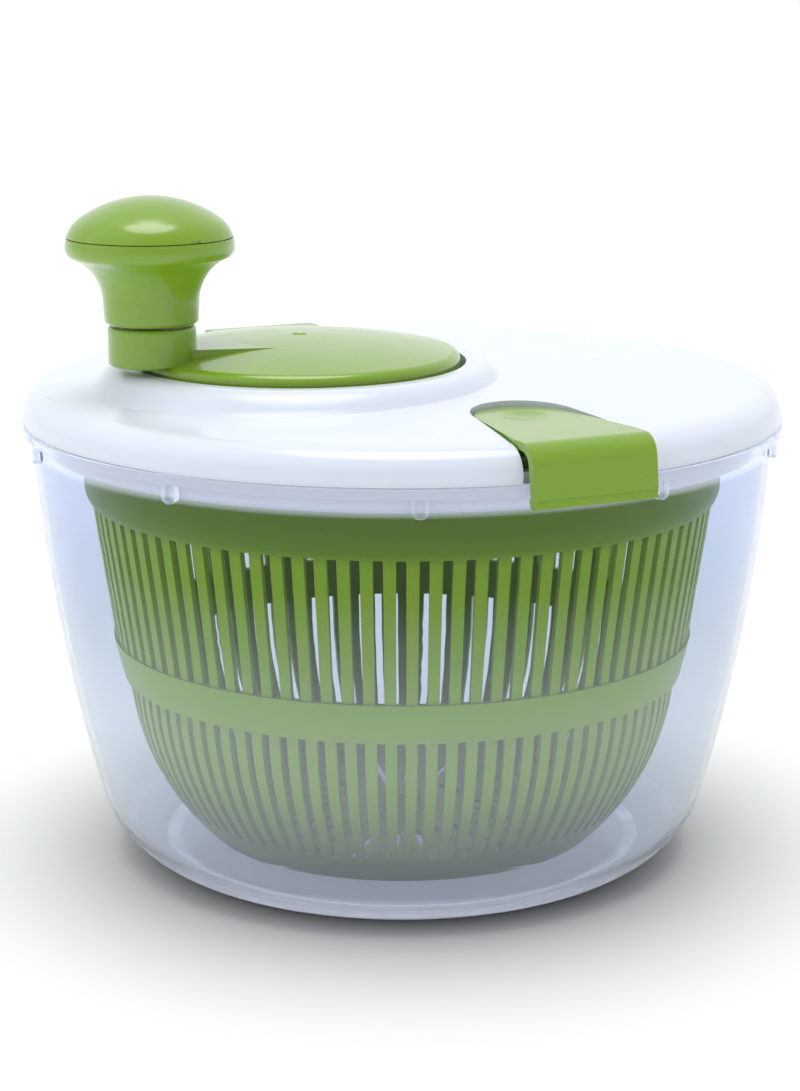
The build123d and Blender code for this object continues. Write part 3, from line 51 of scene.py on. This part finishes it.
# Each pair below is the two heights between which a look of the bowl or the basket changes.
TINT_RISE = (0.03, 0.10)  # the clear tint deepens
PAINTED_VEIL_FADE = (0.070, 0.120)  # the painted reflection veil on the bowl fades out
FOOT_EDGE = (0.004, 0.014)  # the foot's painted glow and painted highlight end
RIM_EDGE = (0.1455, 0.1490)  # the rim's painted glow and painted highlight start
FOOT_SHADE = (0.008, 0.035)  # the foot that lets little light through ends
RIM_SHADE = (0.138, 0.150)  # the rim that lets little light through starts
BASKET_LID_SHADE = (0.1255, 0.1300)  # the basket's slotted wall turns into its solid rim band, darkened there with painted shade from the lid's flange

GRAIN = 0.000004  # depth of the plastic's fine grain
WAVINESS = 0.00002  # depth of its long waves

SKY_COLOUR = (0.95, 0.975, 1.0)
SKY_REAR = 1.0  # brightness of the surroundings behind the object and in front of it
SKY_FRONT = 0.45
SUN_WATTS = 1.55
SUN_SPREAD = radians(40)


# ---------------------------------------------------------------- node helpers
class Shader:
    """A material's node tree with its Principled shader and short ways to add nodes."""

    def __init__(self, name):
        self.material = bpy.data.materials.new(name)
        self.material.use_nodes = True
        self.tree = self.material.node_tree
        self.base = self.tree.nodes["Principled BSDF"]
        self.place = self.node("ShaderNodeTexCoord").outputs["Object"]

    def node(self, kind, **settings):
        made = self.tree.nodes.new(kind)
        for key, value in settings.items():
            setattr(made, key, value)
        return made

    def link(self, output, socket):
        self.tree.links.new(output, socket)

    def set(self, **values):
        """Sets the Principled shader's own sockets; underscores stand for spaces."""
        for key, value in values.items():
            self.base.inputs[key.replace("_", " ")].default_value = value

    def height(self):
        split = self.node("ShaderNodeSeparateXYZ")
        self.link(self.place, split.inputs["Vector"])
        return split.outputs["Z"]

    def noise(self, scale, detail=2.0):
        made = self.node("ShaderNodeTexNoise")
        made.inputs["Scale"].default_value = scale
        made.inputs["Detail"].default_value = detail
        self.link(self.place, made.inputs["Vector"])
        return made.outputs["Fac"]

    def ramp(self, value, low, high, out_low, out_high):
        """Maps a value from low..high to out_low..out_high, clamped."""
        made = self.node("ShaderNodeMapRange")
        for key, number in zip(("From Min", "From Max", "To Min", "To Max"), (low, high, out_low, out_high)):
            made.inputs[key].default_value = number
        self.link(value, made.inputs["Value"])
        return made.outputs["Result"]

    def mix(self, factor, a, b):
        """Colour between a and b by factor."""
        made = self.node("ShaderNodeMix", data_type="RGBA")
        made.inputs["A"].default_value = (*a, 1.0)
        made.inputs["B"].default_value = (*b, 1.0)
        self.link(factor, made.inputs["Factor"])
        return made.outputs["Result"]

    def multiply(self, factor, colour, share):
        """The linked colour, and where factor is 1, that colour times share."""
        made = self.node("ShaderNodeMix", data_type="RGBA", blend_type="MULTIPLY")
        self.link(factor, made.inputs["Factor"])
        self.link(colour, made.inputs["A"])
        made.inputs["B"].default_value = (*share, 1.0)
        return made.outputs["Result"]

    def combine(self, a, b, operation="ADD"):
        """Sum or other combination of two numbers, clamped to 0..1."""
        made = self.node("ShaderNodeMath", operation=operation, use_clamp=True)
        self.link(a, made.inputs[0])
        self.link(b, made.inputs[1])
        return made.outputs[0]

    def blend(self, factor, a, b):
        """Shader between a and b by factor."""
        made = self.node("ShaderNodeMixShader")
        self.link(factor, made.inputs["Fac"])
        self.link(a, made.inputs[1])
        self.link(b, made.inputs[2])
        return made.outputs["Shader"]

    def bump(self, height, distance, under=None):
        """Normal bent by height; under is a normal to bend further."""
        made = self.node("ShaderNodeBump")
        made.inputs["Strength"].default_value = 1.0
        made.inputs["Distance"].default_value = distance
        self.link(height, made.inputs["Height"])
        if under is not None:
            self.link(under, made.inputs["Normal"])
        return made.outputs["Normal"]


def moulded_plastic(name, dark, light, rough, gloss=0.5, coat=0.0, shade_band=None, shade_share=None):
    """Injection-moulded plastic: slight colour drift, uneven gloss, fine grain and long sink waves.
    The last two arguments, if given, are the two heights between which painted shade darkens the colour,
    and that shaded colour as a share of the unshaded one."""
    shader = Shader(name)
    colour = shader.mix(shader.noise(14.0, 3.0), dark, light)
    # Painted shade: the colour darkens above the given heights, as under an overhang.
    if shade_band:
        colour = shader.multiply(shader.ramp(shader.height(), *shade_band, 0.0, 1.0), colour, shade_share)
    shader.link(colour, shader.base.inputs["Base Color"])
    shader.link(shader.ramp(shader.noise(60.0, 4.0), 0.3, 0.7, rough * 0.85, rough * 1.15),
                shader.base.inputs["Roughness"])
    waves = shader.bump(shader.noise(45.0, 1.0), WAVINESS)
    shader.link(shader.bump(shader.noise(1600.0), GRAIN, under=waves), shader.base.inputs["Normal"])
    shader.set(IOR=1.5, Specular_IOR_Level=gloss)
    if coat:
        shader.set(Coat_Weight=coat, Coat_Roughness=0.12)
    return shader.material


def clear_plastic(name):
    """Clear moulded plastic: refracts what is behind it and lets light through to what is inside.
    The lower wall carries a faint whitish veil, a painted reflection, and the foot and the rim
    carry a painted glow and a painted highlight; there, where the plastic is thickest, it lets less light
    through."""
    shader = Shader(name)
    height = shader.height()

    def ends(foot, rim, amount):
        """amount at the foot and at the rim, fading to 0 between them."""
        at_foot = shader.ramp(height, *foot, amount, 0.0)
        return shader.combine(at_foot, shader.ramp(height, *rim, 0.0, amount))

    shader.set(IOR=1.22, Transmission_Weight=1.0, Roughness=0.01, Emission_Color=(*PAINTED_GLOW_COLOUR, 1.0))
    shader.link(shader.mix(shader.ramp(height, *TINT_RISE, 0.0, 1.0), CLEAR_TINT_LOW, CLEAR_TINT_HIGH),
                shader.base.inputs["Base Color"])
    # Painted glow at the foot and the rim: emission, though the bowl is no lamp.
    shader.link(ends(FOOT_EDGE, RIM_EDGE, EDGE_PAINTED_GLOW), shader.base.inputs["Emission Strength"])
    shader.link(shader.bump(shader.noise(35.0, 1.0), GRAIN), shader.base.inputs["Normal"])

    # Painted reflection: a whitish diffuse veil on the lower wall, and a painted highlight of it at the foot
    # and the rim.
    veil_layer = shader.node("ShaderNodeBsdfDiffuse")
    veil_layer.inputs["Color"].default_value = (*PAINTED_VEIL_COLOUR, 1.0)
    low_veil = shader.ramp(height, *PAINTED_VEIL_FADE, PAINTED_VEIL_AMOUNT, 0.0)
    veil_share = shader.combine(low_veil, ends(FOOT_EDGE, RIM_EDGE, EDGE_PAINTED_SHEEN))
    veiled = shader.blend(veil_share, shader.base.outputs["BSDF"], veil_layer.outputs["BSDF"])

    # Light on its way to the inside passes straight through, so that the basket isn't in the dark.
    paths = shader.node("ShaderNodeLightPath")
    passing = shader.combine(paths.outputs["Is Shadow Ray"], paths.outputs["Is Diffuse Ray"], "MAXIMUM")
    through = shader.node("ShaderNodeBsdfTransparent")
    let_through = shader.mix(ends(FOOT_SHADE, RIM_SHADE, 1.0), OPEN_LIGHT, THICK_LIGHT)
    shader.link(let_through, through.inputs["Color"])
    surface = shader.blend(passing, veiled, through.outputs["BSDF"])
    shader.link(surface, shader.tree.nodes["Material Output"].inputs["Surface"])
    return shader.material


def turned_steel(name):
    """Plain steel of pins and screws, with fine turning marks."""
    shader = Shader(name)
    shader.set(Metallic=1.0)
    shader.link(shader.mix(shader.noise(200.0), (0.50, 0.51, 0.53), (0.62, 0.63, 0.65)),
                shader.base.inputs["Base Color"])
    shader.link(shader.ramp(shader.noise(900.0, 4.0), 0.3, 0.7, 0.22, 0.38), shader.base.inputs["Roughness"])
    shader.link(shader.bump(shader.noise(2500.0), 0.00001), shader.base.inputs["Normal"])
    return shader.material


GREEN = moulded_plastic("green_gloss", (0.195, 0.35, 0.010), (0.22, 0.385, 0.015), 0.26, coat=0.6)
# The basket's rim band is darkened with painted shade, where the lid's flange overhangs it.
BASKET_GREEN = moulded_plastic("basket_green", (0.26, 0.44, 0.004), (0.29, 0.47, 0.008), 0.35, gloss=0.25,
                               shade_band=BASKET_LID_SHADE, shade_share=(0.55, 0.60, 0.50))
WHITE = moulded_plastic("white_gloss", (0.74, 0.775, 0.87), (0.77, 0.805, 0.90), 0.20)
CLEAR = clear_plastic("clear_bowl")
NYLON = moulded_plastic("natural_nylon", (0.78, 0.76, 0.68), (0.84, 0.82, 0.75), 0.45)
STEEL = turned_steel("steel")

FINISHES = {
    "clear_plastic": CLEAR,
    "green_plastic": GREEN,
    "white_plastic": WHITE,
    "nylon": NYLON,
    "steel": STEEL,
}
slot_of = {part["node"]: part["material_slot"] for part in frame["record"]["subparts"]}
for name, piece in nodes.items():
    finish = BASKET_GREEN if name == "basket" else FINISHES[slot_of[name]]
    piece.data.materials.clear()
    piece.data.materials.append(finish)


# ---------------------------------------------------------------- stage
def area_light(name, place, aim, size, watts):
    """Rectangular soft light at place, pointing at aim."""
    data = bpy.data.lights.new(name, "AREA")
    data.shape = "RECTANGLE"
    data.size, data.size_y = size
    data.energy = watts
    light = bpy.data.objects.new(name, data)
    light.location = place
    light.rotation_euler = (Vector(aim) - Vector(place)).to_track_quat("-Z", "Y").to_euler()
    scene.collection.objects.link(light)


def around(azimuth, distance, height):
    """A place round the object: azimuth 0 is on the -Y side, 90 on the +X side."""
    angle = radians(azimuth)
    return (distance * sin(angle), -distance * cos(angle), height)


world = bpy.data.worlds.new("studio")
world.use_nodes = True
sky = world.node_tree
sky_coords = sky.nodes.new("ShaderNodeTexCoord")
toward_rear = sky.nodes.new("ShaderNodeVectorMath")
toward_rear.operation = "DOT_PRODUCT"
toward_rear.inputs[1].default_value = around(CAMERA_AZIMUTH + 180, 1.0, 0.0)
fade = sky.nodes.new("ShaderNodeMapRange")
for key, number in zip(("From Min", "From Max", "To Min", "To Max"), (-1.0, 1.0, SKY_FRONT, SKY_REAR)):
    fade.inputs[key].default_value = number
sky.links.new(sky_coords.outputs["Generated"], toward_rear.inputs[0])
sky.links.new(toward_rear.outputs["Value"], fade.inputs["Value"])
sky.links.new(fade.outputs["Result"], sky.nodes["Background"].inputs["Strength"])
sky.nodes["Background"].inputs["Color"].default_value = (*SKY_COLOUR, 1.0)
scene.world = world
scene.view_settings.view_transform = "Standard"

area_light("left_softbox", around(CAMERA_AZIMUTH - 60, 1.3, 0.9), LIGHTS_AIM, (2.0, 1.8), 3.5)

sun_data = bpy.data.lights.new("overhead", "SUN")
sun_data.energy = SUN_WATTS
sun_data.angle = SUN_SPREAD
sun = bpy.data.objects.new("overhead", sun_data)
scene.collection.objects.link(sun)

floor_data = bpy.data.meshes.new("floor")
half = FLOOR_SIDE / 2
corners = [(-half, -half, 0), (half, -half, 0), (half, half, 0), (-half, half, 0)]
floor_data.from_pydata(corners, [], [(0, 1, 2, 3)])
floor = bpy.data.objects.new("floor", floor_data)
scene.collection.objects.link(floor)
floor_paint = Shader("floor_paint")
floor_paint.set(Roughness=0.6, Base_Color=(0.93, 0.93, 0.93, 1.0), Specular_IOR_Level=0.2)
floor_data.materials.append(floor_paint.material)

camera_data = bpy.data.cameras.new("camera")
camera_data.lens = LENS
camera_data.sensor_width = 36.0
camera_data.shift_x = SHIFT_X
camera = bpy.data.objects.new("camera", camera_data)
camera.location = around(CAMERA_AZIMUTH, CAMERA_DISTANCE, CAMERA_HEIGHT)
camera.rotation_euler = (Vector((0, 0, AIM_HEIGHT)) - camera.location).to_track_quat("-Z", "Y").to_euler()
scene.collection.objects.link(camera)
scene.camera = camera
